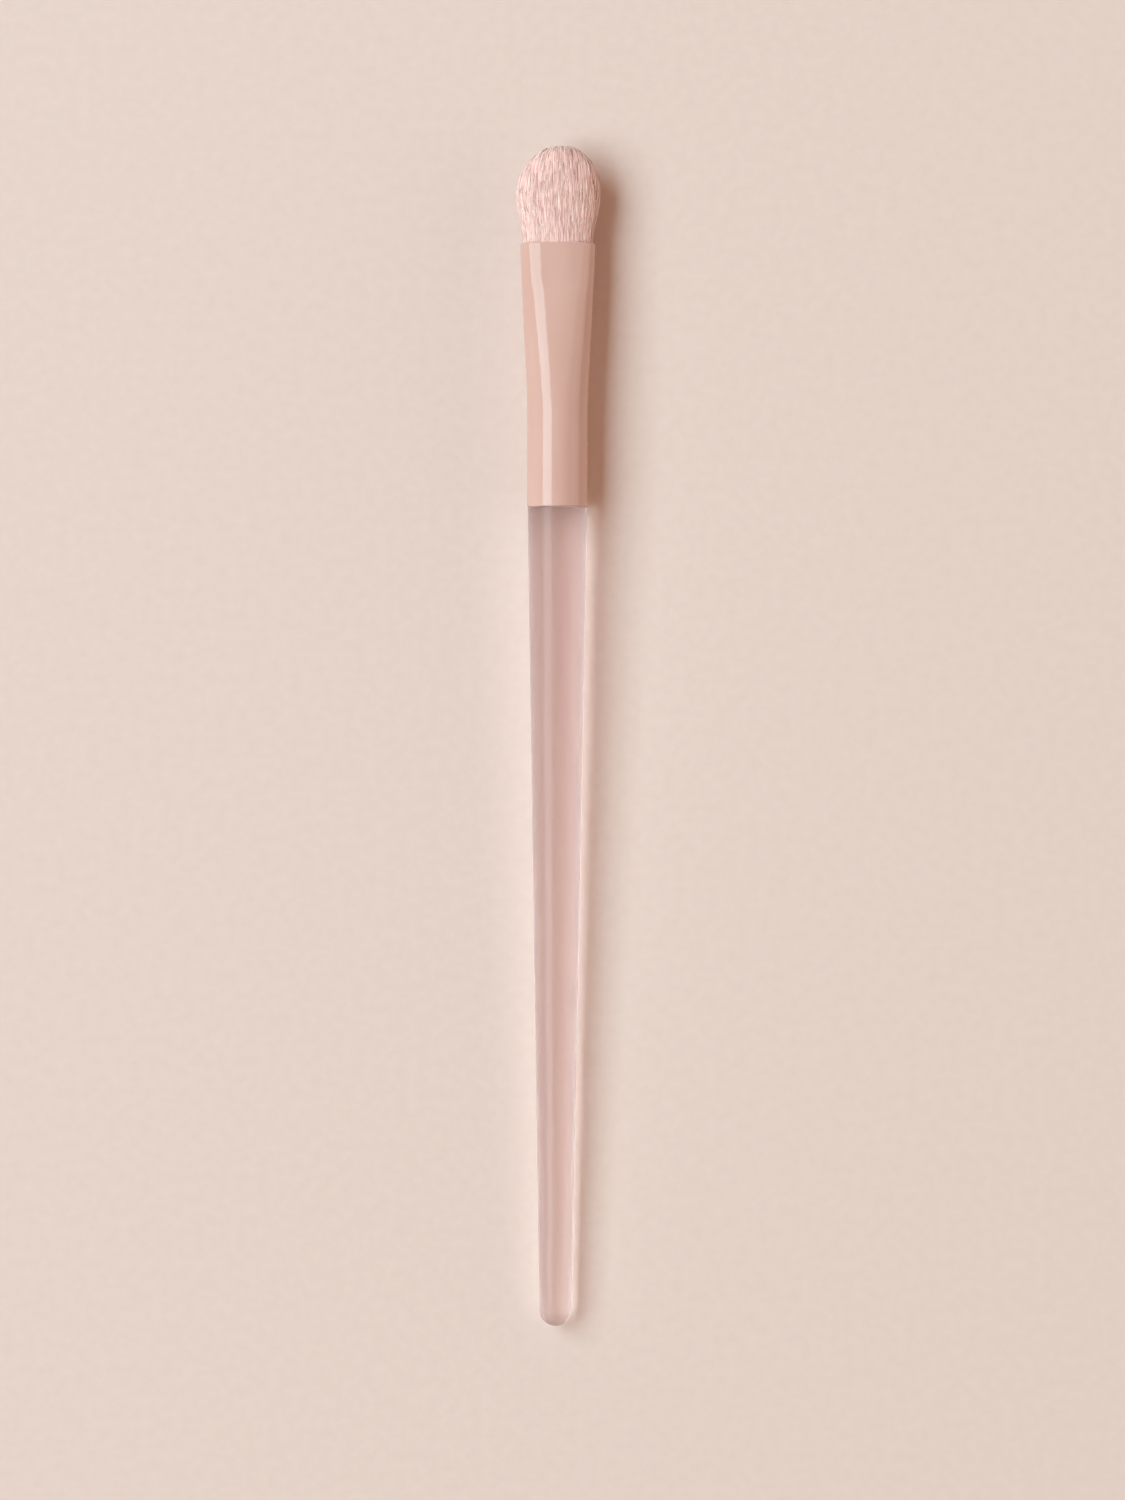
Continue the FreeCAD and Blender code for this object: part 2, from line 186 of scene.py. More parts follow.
class Shader:
    """Builds one procedural material, node by node."""

    def __init__(self, name: str) -> None:
        """Start an empty material with its output node.

        Args:
            name: Name of the material.
        """
        self.material = bpy.data.materials.new(name)
        self.material.use_nodes = True
        self.tree = self.material.node_tree
        self.tree.nodes.clear()
        self.output = self.tree.nodes.new("ShaderNodeOutputMaterial")

    def node(self, kind: str, **sockets: object) -> bpy.types.Node:
        """Add a node and set or link its inputs.

        Args:
            kind: Node type without its ShaderNode prefix.
            sockets: Input names with underscores for spaces, each with a value or an output socket.

        Returns:
            The new node.
        """
        made = self.tree.nodes.new("ShaderNode" + kind)
        for key, value in sockets.items():
            self.put(made.inputs[key.replace("_", " ")], value)
        return made

    def put(self, socket: bpy.types.NodeSocket, value: object) -> None:
        """Set a socket to a plain value, or link it to an output.

        Args:
            socket: Input to set.
            value: Value, colour or output socket.
        """
        if isinstance(value, bpy.types.NodeSocket):
            self.tree.links.new(value, socket)
        elif socket.type == "RGBA":
            socket.default_value = (*value, 1.0)
        else:
            socket.default_value = value

    def place(self, *scale: float) -> bpy.types.NodeSocket:
        """Give the piece's own Object coordinates, stretched.

        Args:
            scale: Stretch along across, along and up.

        Returns:
            The stretched coordinate.
        """
        spot = self.tree.nodes.new("ShaderNodeTexCoord").outputs["Object"]
        return self.node("Mapping", Vector=spot, Scale=scale).outputs["Vector"]

    def noise(self, spot: bpy.types.NodeSocket, scale: float, detail: float = 3.0) -> bpy.types.NodeSocket:
        """Give soft noise between 0 and 1.

        Args:
            spot: Coordinate to read.
            scale: Cells for each metre.
            detail: Octaves of finer noise.

        Returns:
            The noise value.
        """
        return self.node("TexNoise", Vector=spot, Scale=scale, Detail=detail).outputs["Fac"]

    def between(self, value: bpy.types.NodeSocket, low: float, high: float) -> bpy.types.NodeSocket:
        """Map 0 to 1 onto a range."""
        return self.node("MapRange", Value=value, To_Min=low, To_Max=high).outputs["Result"]

    def ramp(self, value: bpy.types.NodeSocket, *stops: tuple[float, Colour]) -> bpy.types.NodeSocket:
        """Colour a value by stops.

        Args:
            value: Value to colour.
            stops: Position and colour pairs, from low to high.

        Returns:
            The colour.
        """
        made = self.tree.nodes.new("ShaderNodeValToRGB")
        band = made.color_ramp.elements
        while len(band) < len(stops):
            band.new(0.5)
        for stop, (position, colour) in zip(band, stops):
            stop.position = position
            stop.color = (*colour, 1.0)
        self.put(made.inputs["Fac"], value)
        return made.outputs["Color"]

    def bump(
        self, height: bpy.types.NodeSocket, depth: float, strength: float = 1.0
    ) -> bpy.types.NodeSocket:
        """Turn a height into a bumped normal.

        Args:
            height: Height between 0 and 1.
            depth: Depth in metres of a full step.
            strength: Share of the bump that is used.

        Returns:
            The normal.
        """
        return self.node("Bump", Height=height, Distance=depth, Strength=strength).outputs["Normal"]

    def finish(self, surface: bpy.types.Node, volume: bpy.types.Node | None = None) -> bpy.types.Material:
        """Link the surface, and a volume where there is one.

        Args:
            surface: Node that shades the surface.
            volume: Node that shades the inside, if any.

        Returns:
            The finished material.
        """
        self.tree.links.new(surface.outputs[0], self.output.inputs["Surface"])
        if volume is not None:
            self.tree.links.new(volume.outputs[0], self.output.inputs["Volume"])
        return self.material


@dataclass(frozen=True)
class ClearAcrylic:
    """Cast acrylic with a rose tint, polished, with faint handling haze."""

    tint: Colour = (0.70, 0.45, 0.45)
    density: float = 40.0
    ior: float = 1.49
    surface: Colour = (0.925, 0.858, 0.853)
    sheen: Colour = (1.0, 0.84, 0.79)

    def material(self) -> bpy.types.Material:
        """Make the material.

        Returns:
            The finished material.
        """
        shader = Shader("rose_acrylic")
        spot = shader.place(1.0, 0.25, 1.0)
        haze = shader.between(shader.noise(spot, 260.0), 0.5, 0.6)
        wave = shader.bump(shader.noise(spot, 120.0, 1.0), 0.001 * MM, 0.05)
        body = shader.node(
            "BsdfPrincipled",
            Base_Color=self.surface,
            Roughness=haze,
            IOR=self.ior,
            Specular_Tint=self.sheen,
            Transmission_Weight=1.0,
            Coat_Weight=0.3,
            Coat_Roughness=0.03,
            Normal=wave,
        )
        inside = shader.node("VolumeAbsorption", Color=self.tint, Density=self.density)
        return shader.finish(body, inside)


@dataclass(frozen=True)
class NudeLacquer:
    """Glossy nude-pink lacquer over drawn aluminium, with a slight orange peel."""

    light: Colour = srgb(219, 181, 167)
    deep: Colour = srgb(212, 171, 156)

    def material(self) -> bpy.types.Material:
        """Make the material.

        Returns:
            The finished material.
        """
        shader = Shader("nude_lacquer")
        spot = shader.place(1.0, 0.3, 1.0)
        tone = shader.ramp(shader.noise(spot, 180.0), (0.3, self.deep), (0.7, self.light))
        peel = shader.bump(shader.noise(shader.place(1.0, 1.0, 1.0), 1400.0, 1.0), 0.004 * MM, 0.3)
        gloss = shader.between(shader.noise(spot, 420.0), 0.05, 0.1)
        body = shader.node(
            "BsdfPrincipled",
            Base_Color=tone,
            Roughness=gloss,
            IOR=1.45,
            Normal=peel,
        )
        return shader.finish(body)


@dataclass(frozen=True)
class PinkBristle:
    """Fine synthetic filament, deeper at the root and paler at the tip, each a little different; the deeper
    root is partly painted shade, as it shows in the gaps between locks.
    """

    # Partly painted shade: the deeper root colour shows at the filaments' feet in the gaps between locks and
    # stands in part for the shade there.
    root: Colour = srgb(251, 206, 197)
    middle: Colour = srgb(255, 217, 209)
    tip: Colour = srgb(255, 225, 214)
    # Painted shade: the darker pink seen between the filaments, standing for the shade in those gaps.
    painted_gap_shade: Colour = srgb(240, 188, 178)

    def material(self) -> bpy.types.Material:
        """Make the filaments' material, which reads their own attributes along and shade.

        Returns:
            The finished material.
        """
        shader = Shader("pink_bristle")
        along = shader.tree.nodes.new("ShaderNodeAttribute")
        along.attribute_name = "along"
        shade = shader.tree.nodes.new("ShaderNodeAttribute")
        shade.attribute_name = "shade"
        length = shader.ramp(along.outputs["Fac"], (0.1, self.root), (0.45, self.middle), (0.95, self.tip))
        depth = shader.node(
            "MapRange", Value=shade.outputs["Fac"], From_Min=0.8, From_Max=1.2, To_Min=1.25, To_Max=0.85
        )
        tone = shader.node(
            "HueSaturation",
            Color=length,
            Value=shade.outputs["Fac"],
            Saturation=depth.outputs["Result"],
        )
        body = shader.node(
            "BsdfPrincipled", Base_Color=tone.outputs["Color"], Roughness=0.7, Specular_IOR_Level=0.1
        )
        return shader.finish(body)

    def bundle_material(self) -> bpy.types.Material:
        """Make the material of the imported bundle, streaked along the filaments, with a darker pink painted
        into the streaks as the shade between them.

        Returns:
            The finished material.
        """
        shader = Shader("bristle_bundle")
        # The streaks paint a darker pink as shade between the filaments; the same pattern also drives
        # roughness and bump.
        gap_shade_streak = shader.noise(shader.place(1.0, 0.03, 1.0), 3200.0, 4.0)
        body = shader.node(
            "BsdfPrincipled",
            Base_Color=shader.ramp(gap_shade_streak, (0.35, self.painted_gap_shade), (0.65, self.root)),
            Roughness=shader.between(gap_shade_streak, 0.7, 0.5),
            Specular_IOR_Level=0.1,
            Normal=shader.bump(gap_shade_streak, 0.08 * MM),
        )
        return shader.finish(body)


@dataclass(frozen=True)
class WaxedThread:
    """Twisted cotton thread, waxed, wound round the tuft's root."""

    light: Colour = srgb(226, 214, 196)
    dark: Colour = srgb(188, 170, 148)

    def material(self) -> bpy.types.Material:
        """Make the material.

        Returns:
            The finished material.
        """
        shader = Shader("waxed_thread")
        spot = shader.place(1.0, 1.0, 1.0)
        twist = shader.node("TexWave", Vector=spot, Scale=1800.0, Distortion=2.0, Detail=2.0).outputs["Fac"]
        body = shader.node(
            "BsdfPrincipled",
            Base_Color=shader.ramp(twist, (0.2, self.dark), (0.8, self.light)),
            Roughness=shader.between(twist, 0.55, 0.8),
            Normal=shader.bump(twist, 0.03 * MM),
        )
        return shader.finish(body)


@dataclass(frozen=True)
class CuredResin:
    """Cured amber potting resin with fine clouding."""

    clear: Colour = srgb(222, 190, 140)
    cloud: Colour = srgb(236, 214, 176)

    def material(self) -> bpy.types.Material:
        """Make the material.

        Returns:
            The finished material.
        """
        shader = Shader("cured_resin")
        spot = shader.place(1.0, 1.0, 1.0)
        cloud = shader.noise(spot, 900.0, 4.0)
        body = shader.node(
            "BsdfPrincipled",
            Base_Color=shader.ramp(cloud, (0.35, self.clear), (0.7, self.cloud)),
            Roughness=shader.between(cloud, 0.15, 0.35),
            IOR=1.54,
            Normal=shader.bump(cloud, 0.02 * MM, 0.4),
        )
        return shader.finish(body)


@dataclass(frozen=True)
class CreamPaper:
    """Pale uncoated paper that the brush lies on, faintly mottled."""

    light: Colour = srgb(234, 217, 207)
    dark: Colour = srgb(230, 213, 203)

    def material(self) -> bpy.types.Material:
        """Make the material.

        Returns:
            The finished material.
        """
        shader = Shader("cream_paper")
        spot = shader.place(1.0, 1.0, 1.0)
        fibre = shader.noise(spot, 700.0, 5.0)
        body = shader.node(
            "BsdfPrincipled",
            Base_Color=shader.ramp(fibre, (0.3, self.dark), (0.7, self.light)),
            Roughness=0.9,
            Specular_IOR_Level=0.2,
            Normal=shader.bump(fibre, 0.05 * MM, 0.4),
        )
        return shader.finish(body)


@dataclass
class Handle:
    """Solid clear rod: ball tail, straight taper, rounded shoulder and a grooved tenon."""

    axis: BrushAxis
    finish: ClearAcrylic
    tail_radius: float = 2.15 * MM
    tail_centre: float = -107.15 * MM
    taper_angle: float = math.radians(0.964)
    shoulder_radius: float = 3.95 * MM
    shoulder_round: float = 0.2 * MM
    tenon_radius: float = 3.55 * MM
    tenon_length: float = 12.0 * MM
    tenon_chamfer: float = 0.6 * MM
    groove_radius: float = 0.3 * MM
    groove_count: int = 3
    round_steps: int = 5
    segments: int = 128
    sharp_angle: float = math.radians(40.0)

    def build(self) -> bpy.types.Object:
        """Model the rod from its ball tail up to the tenon's end.

        Returns:
            The handle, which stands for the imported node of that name.
        """
        bpy.ops.object.select_all(action="DESELECT")
        bpy.ops.mesh.primitive_uv_sphere_add(
            segments=self.segments,
            ring_count=self.segments // 2,
            radius=self.tail_radius,
            location=(0.0, self.tail_centre, 0.0),
            rotation=(math.pi / 2.0, 0.0, 0.0),
        )
        rod = started("clear_handle")
        bpy.ops.object.mode_set(mode="EDIT")
        tangent = self.tail_centre - self.tail_radius * math.sin(self.taper_angle)
        self.cut_ball(tangent)
        select_ring(rod, tangent)
        rim = self.tail_radius * math.cos(self.taper_angle)
        rings = [Ring(station, radius, radius) for station, radius in self.rings()]
        draw_out(Ring(tangent, rim, rim), rings)
        close_up(rod, self.sharp_angle)
        self.axis.lay_down(rod)
        self.dress(rod)
        return rod

    def cut_ball(self, tangent: float) -> None:
        """Cut the ball where the taper leaves it and keep the tail side.

        Args:
            tangent: Station of the cut.
        """
        bpy.ops.mesh.select_all(action="SELECT")
        bpy.ops.mesh.bisect(
            plane_co=(0.0, tangent, 0.0), plane_no=(0.0, 1.0, 0.0), clear_outer=True, threshold=SAME_PLACE
        )

    def rings(self) -> list[tuple[float, float]]:
        """List the rings above the ball as station and radius.

        Returns:
            The rings from the taper's end to the tenon's end.
        """
        made = []
        for step in range(self.round_steps + 1):
            turn = math.radians(90.0) * step / self.round_steps
            rise = self.shoulder_round * (math.sin(turn) - 1.0)
            made.append((rise, self.shoulder_radius - self.shoulder_round * (1.0 - math.cos(turn))))
        made.append((0.0, self.tenon_radius))
        pitch = self.tenon_length / (self.groove_count + 1)
        for groove in range(1, self.groove_count + 1):
            for offset, depth in ((-1.0, 0.0), (-0.5, 0.8), (0.0, 1.0), (0.5, 0.8), (1.0, 0.0)):
                station = groove * pitch + offset * self.groove_radius
                made.append((station, self.tenon_radius - depth * self.groove_radius))
        made.append((self.tenon_length - self.tenon_chamfer, self.tenon_radius))
        made.append((self.tenon_length, self.tenon_radius - self.tenon_chamfer))
        return made

    def dress(self, rod: bpy.types.Object) -> None:
        """Give the rod its finish and its place in the frame.

        Args:
            rod: The modelled handle.
        """
        rod.data.materials.append(self.finish.material())
        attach(rod, "root")
        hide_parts("handle")


@dataclass
class BristleHead:
    """Domed flat head: a packed bundle with a coat of fine filaments, combed along it in small locks."""

    axis: BrushAxis
    finish: PinkBristle
    root_station: float = 34.0 * MM
    mouth_station: float = 35.0 * MM
    belly_station: float = 41.4 * MM
    tip_station: float = 48.0 * MM
    mouth_half_width: float = 4.60 * MM
    mouth_half_thickness: float = 2.15 * MM
    belly_half_width: float = 5.63 * MM
    belly_half_thickness: float = 2.90 * MM
    dome_arc: float = 8.2 * MM
    lean_right: float = 0.2 * MM
    long_right: float = 0.28 * MM
    bundle_share: float = 0.965
    bundle_segments: int = 96
    bundle_neck_rings: int = 14
    bundle_dome_rings: int = 11
    bundle_dome_turns: tuple[float, float] = (8.0, 88.0)
    bundle_sharp_angle: float = math.radians(60.0)
    lock_count: int = 1900
    lock_tries: int = 8
    lock_lowest: float = 0.1
    lock_filaments: int = 8
    lock_length: float = 3.0 * MM
    length_range: tuple[float, float] = (0.75, 1.25)
    lock_spread: float = 0.07 * MM
    lock_gather: float = 0.45
    lock_relief: float = 0.03 * MM
    lock_tone: float = 0.06
    foot_depth: float = 0.10 * MM
    stand_up: float = 0.15
    filament_radius: float = 0.042 * MM
    radius_range: tuple[float, float] = (0.8, 1.2)
    filament_cuts: int = 3
    filament_tone: float = 0.13
    taper_share: float = 0.45
    tip_share: float = 0.2
    tip_scatter: float = 0.5 * MM
    tip_wander: float = 0.06 * MM
    tip_lift: float = 0.03 * MM
    body_light: float = 0.65
    face_light: float = 2.0
    seed: int = 11

    def build(self) -> list[bpy.types.Object]:
        """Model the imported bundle, then comb the coat of filaments over its two faces.

        Returns:
            The pieces of the head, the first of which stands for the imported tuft.
        """
        rng = np.random.default_rng(self.seed)
        unit, faces = self.model_filament()
        tips = self.place_locks(rng)
        material = self.finish.material()
        pieces = [self.model_bundle()]
        sides = {"bristles_front": tips[:, 2] >= 0.0, "bristles_back": tips[:, 2] < 0.0}
        for name, chosen in sides.items():
            paths = self.part_locks(rng, *self.comb(rng, tips[chosen]))
            piece = self.grow(name, rng, unit, faces, paths)
            locks = rng.normal(1.0, self.lock_tone, int(chosen.sum())).repeat(self.lock_filaments)
            shade = locks * rng.normal(1.0, self.filament_tone, len(paths))
            self.write(piece.data, "along", np.broadcast_to(unit[:, 1], (len(paths), len(unit))))
            self.write(piece.data, "shade", np.broadcast_to(shade[:, None], (len(paths), len(unit))))
            piece.data.materials.append(material)
            pieces.append(piece)
        for piece in pieces:
            self.axis.lay_down(piece)
            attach(piece, "root")
        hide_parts("bristle_tuft")
        return pieces

    def model_bundle(self) -> bpy.types.Object:
        """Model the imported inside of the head, which the outer filaments cover.

        Returns:
            The bundle, drawn from the mouth over the belly to the tip.
        """
        stations = list(np.linspace(self.root_station, self.belly_station, self.bundle_neck_rings))
        rings = [Ring(y, *(self.bundle_share * half for half in self.half_sizes(y))) for y in stations]
        reach = (self.tip_station - self.belly_station) * self.bundle_share
        for turn in np.radians(np.linspace(*self.bundle_dome_turns, self.bundle_dome_rings)):
            narrow = self.bundle_share * math.cos(turn)
            rings.append(
                Ring(
                    self.belly_station + reach * math.sin(turn),
                    self.belly_half_width * narrow,
                    self.belly_half_thickness * narrow,
                )
            )
        bpy.ops.object.select_all(action="DESELECT")
        bpy.ops.mesh.primitive_circle_add(
            vertices=self.bundle_segments,
            radius=rings[0].half_width,
            fill_type="NGON",
            location=(0.0, rings[0].station, 0.0),
            rotation=(math.pi / 2.0, 0.0, 0.0),
        )
        bundle = started("bristle_bundle")
        bpy.ops.object.mode_set(mode="EDIT")
        select_ring(bundle, rings[0].station)
        flatten = rings[0].half_thickness / rings[0].half_width
        bpy.ops.transform.resize(value=(1.0, 1.0, flatten), center_override=(0.0, rings[0].station, 0.0))
        bpy.ops.mesh.select_mode(type="EDGE")
        bpy.ops.mesh.delete(type="ONLY_FACE")
        select_ring(bundle, rings[0].station)
        draw_out(rings[0], rings[1:])
        close_up(bundle, self.bundle_sharp_angle)
        bundle.data.materials.append(self.finish.bundle_material())
        return bundle

    def model_filament(self) -> tuple[np.ndarray, np.ndarray]:
        """Model one straight three-sided filament of unit length and radius.

        Returns:
            Its points and its faces.
        """
        bpy.ops.object.select_all(action="DESELECT")
        bpy.ops.mesh.primitive_cylinder_add(
            vertices=3,
            radius=1.0,
            depth=1.0,
            end_fill_type="NOTHING",
            location=(0.0, 0.5, 0.0),
            rotation=(-math.pi / 2.0, 0.0, 0.0),
        )
        strand = started("filament")
        bpy.ops.object.mode_set(mode="EDIT")
        bpy.ops.mesh.select_mode(type="EDGE")
        bpy.ops.mesh.select_all(action="DESELECT")
        bpy.ops.object.mode_set(mode="OBJECT")
        for edge in strand.data.edges:
            low, high = (strand.data.vertices[index].co.y for index in edge.vertices)
            edge.select = abs(high - low) > 0.5
        bpy.ops.object.mode_set(mode="EDIT")
        bpy.ops.mesh.subdivide(number_cuts=self.filament_cuts)
        bpy.ops.object.mode_set(mode="OBJECT")
        points = np.array([vertex.co for vertex in strand.data.vertices])
        faces = np.array([face.vertices for face in strand.data.polygons])
        bpy.data.meshes.remove(strand.data)
        return points, faces

    def half_sizes(self, station: np.ndarray | float) -> tuple[np.ndarray, np.ndarray]:
        """Give the half width and half thickness of the head below its dome.

        Args:
            station: Stations along the brush.

        Returns:
            Half widths and half thicknesses.
        """
        rise = np.clip((station - self.mouth_station) / (self.belly_station - self.mouth_station), 0.0, 1.0)
        swell = rise * rise * (3.0 - 2.0 * rise)
        width = self.mouth_half_width + (self.belly_half_width - self.mouth_half_width) * swell
        gain = self.belly_half_thickness - self.mouth_half_thickness
        return width, self.mouth_half_thickness + gain * swell

    def outward(self, spots: np.ndarray, face_weight: float = 1.0) -> np.ndarray:
        """Give the direction out of the head at points on or near its surface.

        Args:
            spots: Points as across, along and up.
            face_weight: Weight of the up direction, more than 1 for a flatter face.

        Returns:
            Unit directions.
        """
        across, station, up = np.moveaxis(spots, -1, 0)
        step = 0.05 * MM
        wide, thick = self.half_sizes(station)
        wide_before, thick_before = self.half_sizes(station - step)
        swell = (across / wide) ** 2 * (1.0 - wide_before / wide)
        swell = swell + (up / thick) ** 2 * (1.0 - thick_before / thick)
        past = np.maximum(station - self.belly_station, 0.0) / (self.tip_station - self.belly_station) ** 2
        steep = np.stack([across / wide ** 2, past - swell / step, up * face_weight / thick ** 2], axis=-1)
        return steep / np.linalg.norm(steep, axis=-1, keepdims=True)

    def settle(self, spots: np.ndarray) -> np.ndarray:
        """Bring points back to the head's surface, each at its own station.

        Args:
            spots: Points near the surface.

        Returns:
            The points on the surface.
        """
        across, station, up = np.moveaxis(spots, -1, 0)
        wide, thick = self.half_sizes(station)
        past = np.clip((station - self.belly_station) / (self.tip_station - self.belly_station), 0.0, 1.0)
        least_reach = 0.01
        reach = np.maximum(np.hypot(across / wide, up / thick), least_reach)
        grown = np.sqrt(1.0 - past ** 2) / reach
        return np.stack([across * grown, station, up * grown], axis=-1)

    def place_locks(self, rng: np.random.Generator) -> np.ndarray:
        """Spread the tips of the locks evenly over the head's surface.

        Args:
            rng: Seeded random numbers.

        Returns:
            The tips, as across, along and up.
        """
        neck = self.belly_station - self.mouth_station
        tries = self.lock_count * self.lock_tries
        meridian = rng.uniform(self.lock_lowest * neck, neck + self.dome_arc, tries)
        turn = rng.uniform(0.0, 2.0 * math.pi, tries)
        climb = np.clip((meridian - neck) / self.dome_arc, 0.0, 1.0) * math.pi / 2.0
        dome = self.tip_station - self.belly_station
        station = self.mouth_station + np.minimum(meridian, neck) + dome * np.sin(climb)
        width, thickness = self.half_sizes(station)
        stretch = np.hypot(np.sin(turn), np.cos(turn) * thickness / width)
        kept = np.flatnonzero(rng.uniform(0.0, 1.0, tries) < stretch * np.cos(climb))[: self.lock_count]
        across = width * np.cos(climb) * np.cos(turn)
        height = thickness * np.cos(climb) * np.sin(turn)
        tips = np.stack([across, station, height], axis=1)
        return tips[kept]

    def comb(self, rng: np.random.Generator, tips: np.ndarray) -> tuple[np.ndarray, np.ndarray]:
        """Comb each lock back from its tip along the surface, with its foot sunk into the bundle.

        Args:
            rng: Seeded random numbers.
            tips: Tips of the locks.

        Returns:
            The lines of the locks from foot to tip, and the direction along them.
        """
        forward = np.array([0.0, 1.0, 0.0])
        length = self.lock_length * rng.uniform(*self.length_range, (len(tips), 1))
        stride = length / (self.filament_cuts + 1)
        relief = rng.normal(0.0, self.lock_relief, (len(tips), 1))
        spots = tips
        lines = []
        ways = []
        for share in np.linspace(1.0, 0.0, self.filament_cuts + 2):
            out = self.outward(spots)
            flat = forward - out * out[:, 1:2]
            way = flat * (1.0 - self.stand_up) + forward * self.stand_up
            way = way / np.linalg.norm(way, axis=1, keepdims=True)
            lines.append(spots + out * (relief * share - self.foot_depth * (1.0 - share)))
            ways.append(way)
            spots = self.settle(spots - way * stride)
        return np.stack(lines[::-1], axis=1), np.stack(ways[::-1], axis=1)

    def part_locks(self, rng: np.random.Generator, lines: np.ndarray, ways: np.ndarray) -> np.ndarray:
        """Part each lock into filaments that gather at its tip, and lean the dome to its longer side.

        Args:
            rng: Seeded random numbers.
            lines: Lines of the locks.
            ways: Directions along them.

        Returns:
            The lines of the filaments.
        """
        lines = lines.repeat(self.lock_filaments, axis=0)
        ways = ways.repeat(self.lock_filaments, axis=0)
        count = len(lines)
        share = np.linspace(0.0, 1.0, lines.shape[1])[None, :, None]
        out = self.outward(lines)
        beside = np.cross(ways, out)
        spread = rng.normal(0.0, self.lock_spread, (count, 1, 1)) * (1.0 - self.lock_gather * share)
        spread = spread + rng.normal(0.0, self.tip_wander, (count, 1, 1)) * share ** 2
        shift = rng.uniform(-self.tip_scatter, self.tip_scatter, (count, 1, 1))
        lift = rng.normal(0.0, self.tip_lift, (count, 1, 1)) * share
        paths = lines + beside * spread + ways * shift + out * lift
        dome = self.tip_station - self.belly_station
        past = np.clip((paths[:, :, 1] - self.belly_station) / dome, 0.0, 1.0)
        paths[:, :, 1] += self.long_right * past * paths[:, :, 0] / self.belly_half_width
        paths[:, :, 0] += self.lean_right * past
        paths[:, :, 1] = np.clip(paths[:, :, 1], self.root_station, self.tip_station)
        return paths

    def grow(
        self, name: str, rng: np.random.Generator, unit: np.ndarray, faces: np.ndarray, paths: np.ndarray
    ) -> bpy.types.Object:
        """Copy the filament along each line, tapered to its tip.

        Args:
            name: Name of the layer.
            rng: Seeded random numbers.
            unit: Points of the unit filament.
            faces: Faces of the unit filament.
            paths: Lines of the filaments.

        Returns:
            The layer as one mesh.
        """
        count = len(paths)
        rings = np.rint(unit[:, 1] * (self.filament_cuts + 1)).astype(int)
        paths = paths[:, rings]
        taper = np.clip((1.0 - unit[:, 1]) / self.taper_share, self.tip_share, 1.0)
        radius = self.filament_radius * rng.uniform(*self.radius_range, (count, 1)) * taper
        turn = rng.uniform(0.0, 2.0 * math.pi, (count, 1))
        side = unit[:, 0] * np.cos(turn) - unit[:, 2] * np.sin(turn)
        rise = unit[:, 0] * np.sin(turn) + unit[:, 2] * np.cos(turn)
        own = np.stack([side, np.zeros_like(side), rise], axis=2)
        points = paths + own * radius[:, :, None]
        step = len(unit) * np.arange(count)[:, None, None]
        mesh = bpy.data.meshes.new(name)
        mesh.from_pydata(points.reshape(-1, 3), [], (faces[None] + step).reshape(-1, 4).tolist())
        mesh.polygons.foreach_set("use_smooth", np.ones(len(mesh.polygons), dtype=bool))
        normals = self.outward(paths, self.face_light) * self.body_light + own * (1.0 - self.body_light)
        mesh.normals_split_custom_set_from_vertices(normals.reshape(-1, 3))
        piece = bpy.data.objects.new(name, mesh)
        bpy.context.scene.collection.objects.link(piece)
        return piece

    def write(self, mesh: bpy.types.Mesh, name: str, values: np.ndarray) -> None:
        """Store one value for each point of a mesh."""
        store = mesh.attributes.new(name, "FLOAT", "POINT")
        store.data.foreach_set("value", np.ascontiguousarray(values, dtype=np.float32).ravel())


@dataclass
class PackedNodes:
    """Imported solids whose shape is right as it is: they only take a finish."""

    lacquer: NudeLacquer
    thread: WaxedThread
    resin: CuredResin

    def dress(self) -> list[bpy.types.Object]:
        """Give the ferrule and the hidden pieces their finishes.

        Returns:
            The dressed nodes.
        """
        resin = self.resin.material()
        finishes = {
            "ferrule": self.lacquer.material(),
            "binding_thread": self.thread.material(),
            "resin_plug": resin,
            "tenon_adhesive": resin,
        }
        for name, material in finishes.items():
            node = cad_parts[name]
            node.data.materials.clear()
            node.data.materials.append(material)
        return [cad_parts[name] for name in finishes]


class Softbox(NamedTuple):
    """Lean from overhead towards the right, distance, size, shift along the brush, and light."""

    lean: float
    distance: float
    width: float
    length: float
    shift: float
    power: float
    colour: Colour


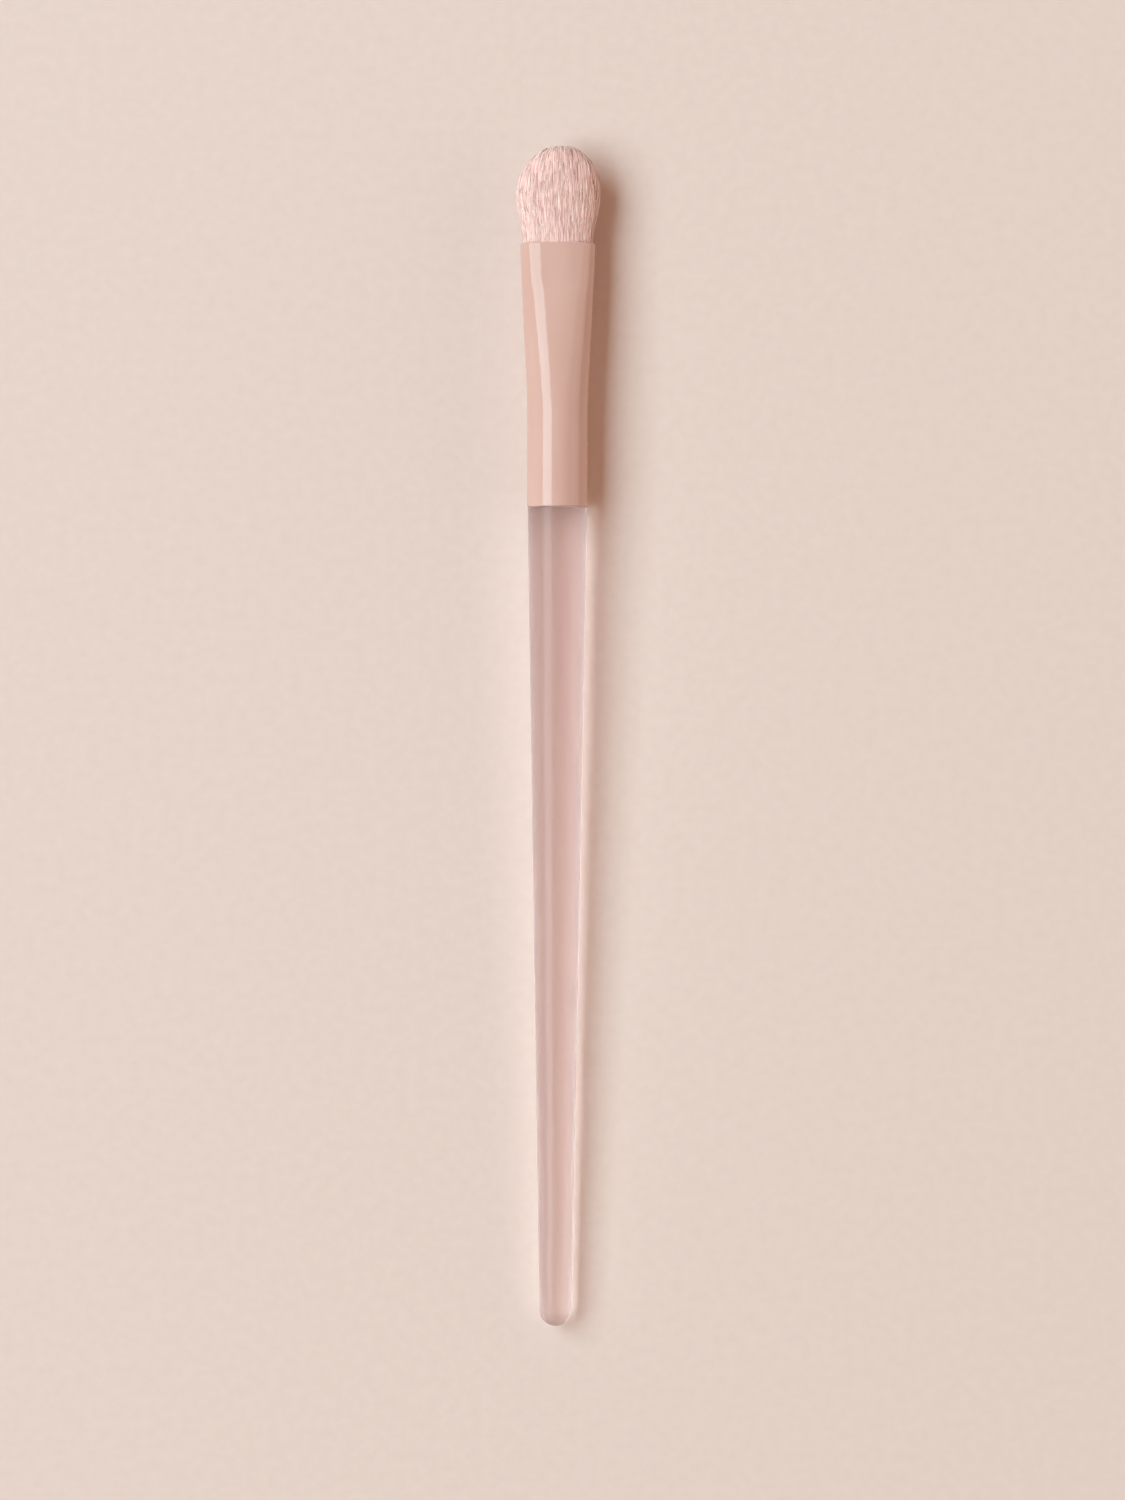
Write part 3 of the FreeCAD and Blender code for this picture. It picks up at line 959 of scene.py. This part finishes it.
@dataclass
class Studio:
    """Paper ground, a large soft light at the left, a weak one at the right, and the camera overhead."""

    paper: CreamPaper
    floor_size: float = 3.0
    key: Softbox = Softbox(
        lean=math.radians(-39.0),
        distance=2.5,
        width=1.58,
        length=3.2,
        shift=0.5,
        power=83.5,
        colour=(0.735, 0.924, 1.0),
    )
    reflector: Softbox = Softbox(
        lean=math.radians(72.0),
        distance=2.0,
        width=1.2,
        length=2.4,
        shift=0.0,
        power=9.0,
        colour=(1.0, 0.98, 0.90),
    )
    ambient: Colour = (0.345, 0.185, 0.122)
    backdrop: Colour = srgb(236, 222, 213)
    camera_distance: float = 0.555
    camera_height: float = 4.0 * MM
    aim_across: float = 0.77 * MM
    aim_along: float = -1.70 * MM
    roll: float = math.radians(0.13)
    lens: float = 100.0
    sensor: float = 36.0

    def build(self) -> None:
        """Set the ground, the lights and the camera."""
        self.lay_paper()
        self.hang("key_softbox", self.key)
        self.hang("right_reflector", self.reflector)
        self.fill_room()
        self.set_camera()
        bpy.context.scene.view_settings.view_transform = "Standard"
        bpy.context.scene.cycles.blur_glossy = 0.0

    def lay_paper(self) -> None:
        """Lay the paper under the brush."""
        bpy.ops.object.select_all(action="DESELECT")
        bpy.ops.mesh.primitive_plane_add(size=self.floor_size)
        floor = started("paper_ground")
        floor.data.materials.append(self.paper.material())

    def hang(self, name: str, box: Softbox) -> None:
        """Hang a softbox beside the brush, facing it.

        Args:
            name: Name of the light.
            box: Place, size and light of the softbox.
        """
        light = bpy.data.lights.new(name, "AREA")
        light.shape = "RECTANGLE"
        light.size = box.width
        light.size_y = box.length
        light.energy = box.power
        light.color = box.colour
        lamp = bpy.data.objects.new(name, light)
        lamp.location = (box.distance * math.sin(box.lean), box.shift, box.distance * math.cos(box.lean))
        lamp.rotation_euler = (0.0, box.lean, 0.0)
        bpy.context.scene.collection.objects.link(lamp)

    def fill_room(self) -> None:
        """Give the room its warm light, and a pale backdrop that the camera, gloss and acrylic see."""
        world = bpy.data.worlds.new("warm_room")
        world.use_nodes = True
        nodes, links = world.node_tree.nodes, world.node_tree.links
        nodes.clear()
        room = nodes.new("ShaderNodeBackground")
        room.inputs["Color"].default_value = (*self.ambient, 1.0)
        seen = nodes.new("ShaderNodeBackground")
        seen.inputs["Color"].default_value = (*self.backdrop, 1.0)
        path = nodes.new("ShaderNodeLightPath")
        mix = nodes.new("ShaderNodeMixShader")
        shown = path.outputs["Is Camera Ray"]
        for ray in ("Is Glossy Ray", "Is Transmission Ray"):
            either = nodes.new("ShaderNodeMath")
            either.operation = "MAXIMUM"
            links.new(shown, either.inputs[0])
            links.new(path.outputs[ray], either.inputs[1])
            shown = either.outputs[0]
        links.new(shown, mix.inputs["Fac"])
        links.new(room.outputs[0], mix.inputs[1])
        links.new(seen.outputs[0], mix.inputs[2])
        links.new(mix.outputs[0], nodes.new("ShaderNodeOutputWorld").inputs["Surface"])
        bpy.context.scene.world = world

    def set_camera(self) -> None:
        """Set the camera straight above the brush, head up in the frame."""
        camera = bpy.data.cameras.new("camera")
        camera.sensor_fit = "VERTICAL"
        camera.sensor_height = self.sensor
        camera.lens = self.lens
        stand = bpy.data.objects.new("camera", camera)
        stand.location = (self.aim_across, self.aim_along, self.camera_height + self.camera_distance)
        stand.rotation_euler = (0.0, 0.0, self.roll)
        bpy.context.scene.collection.objects.link(stand)
        bpy.context.scene.camera = stand


def main() -> None:
    """Build the brush piece by piece and set the studio."""
    logging.basicConfig(level=logging.INFO, format="%(message)s")
    axis = BrushAxis()
    made = [Handle(axis, ClearAcrylic()).build()]
    made += BristleHead(axis, PinkBristle()).build()
    made += PackedNodes(NudeLacquer(), WaxedThread(), CuredResin()).dress()
    for piece in made:
        LOG.info("%s: %d faces", piece.name, len(piece.data.polygons))
    Studio(CreamPaper()).build()


if __name__ == "__main__":
    main()
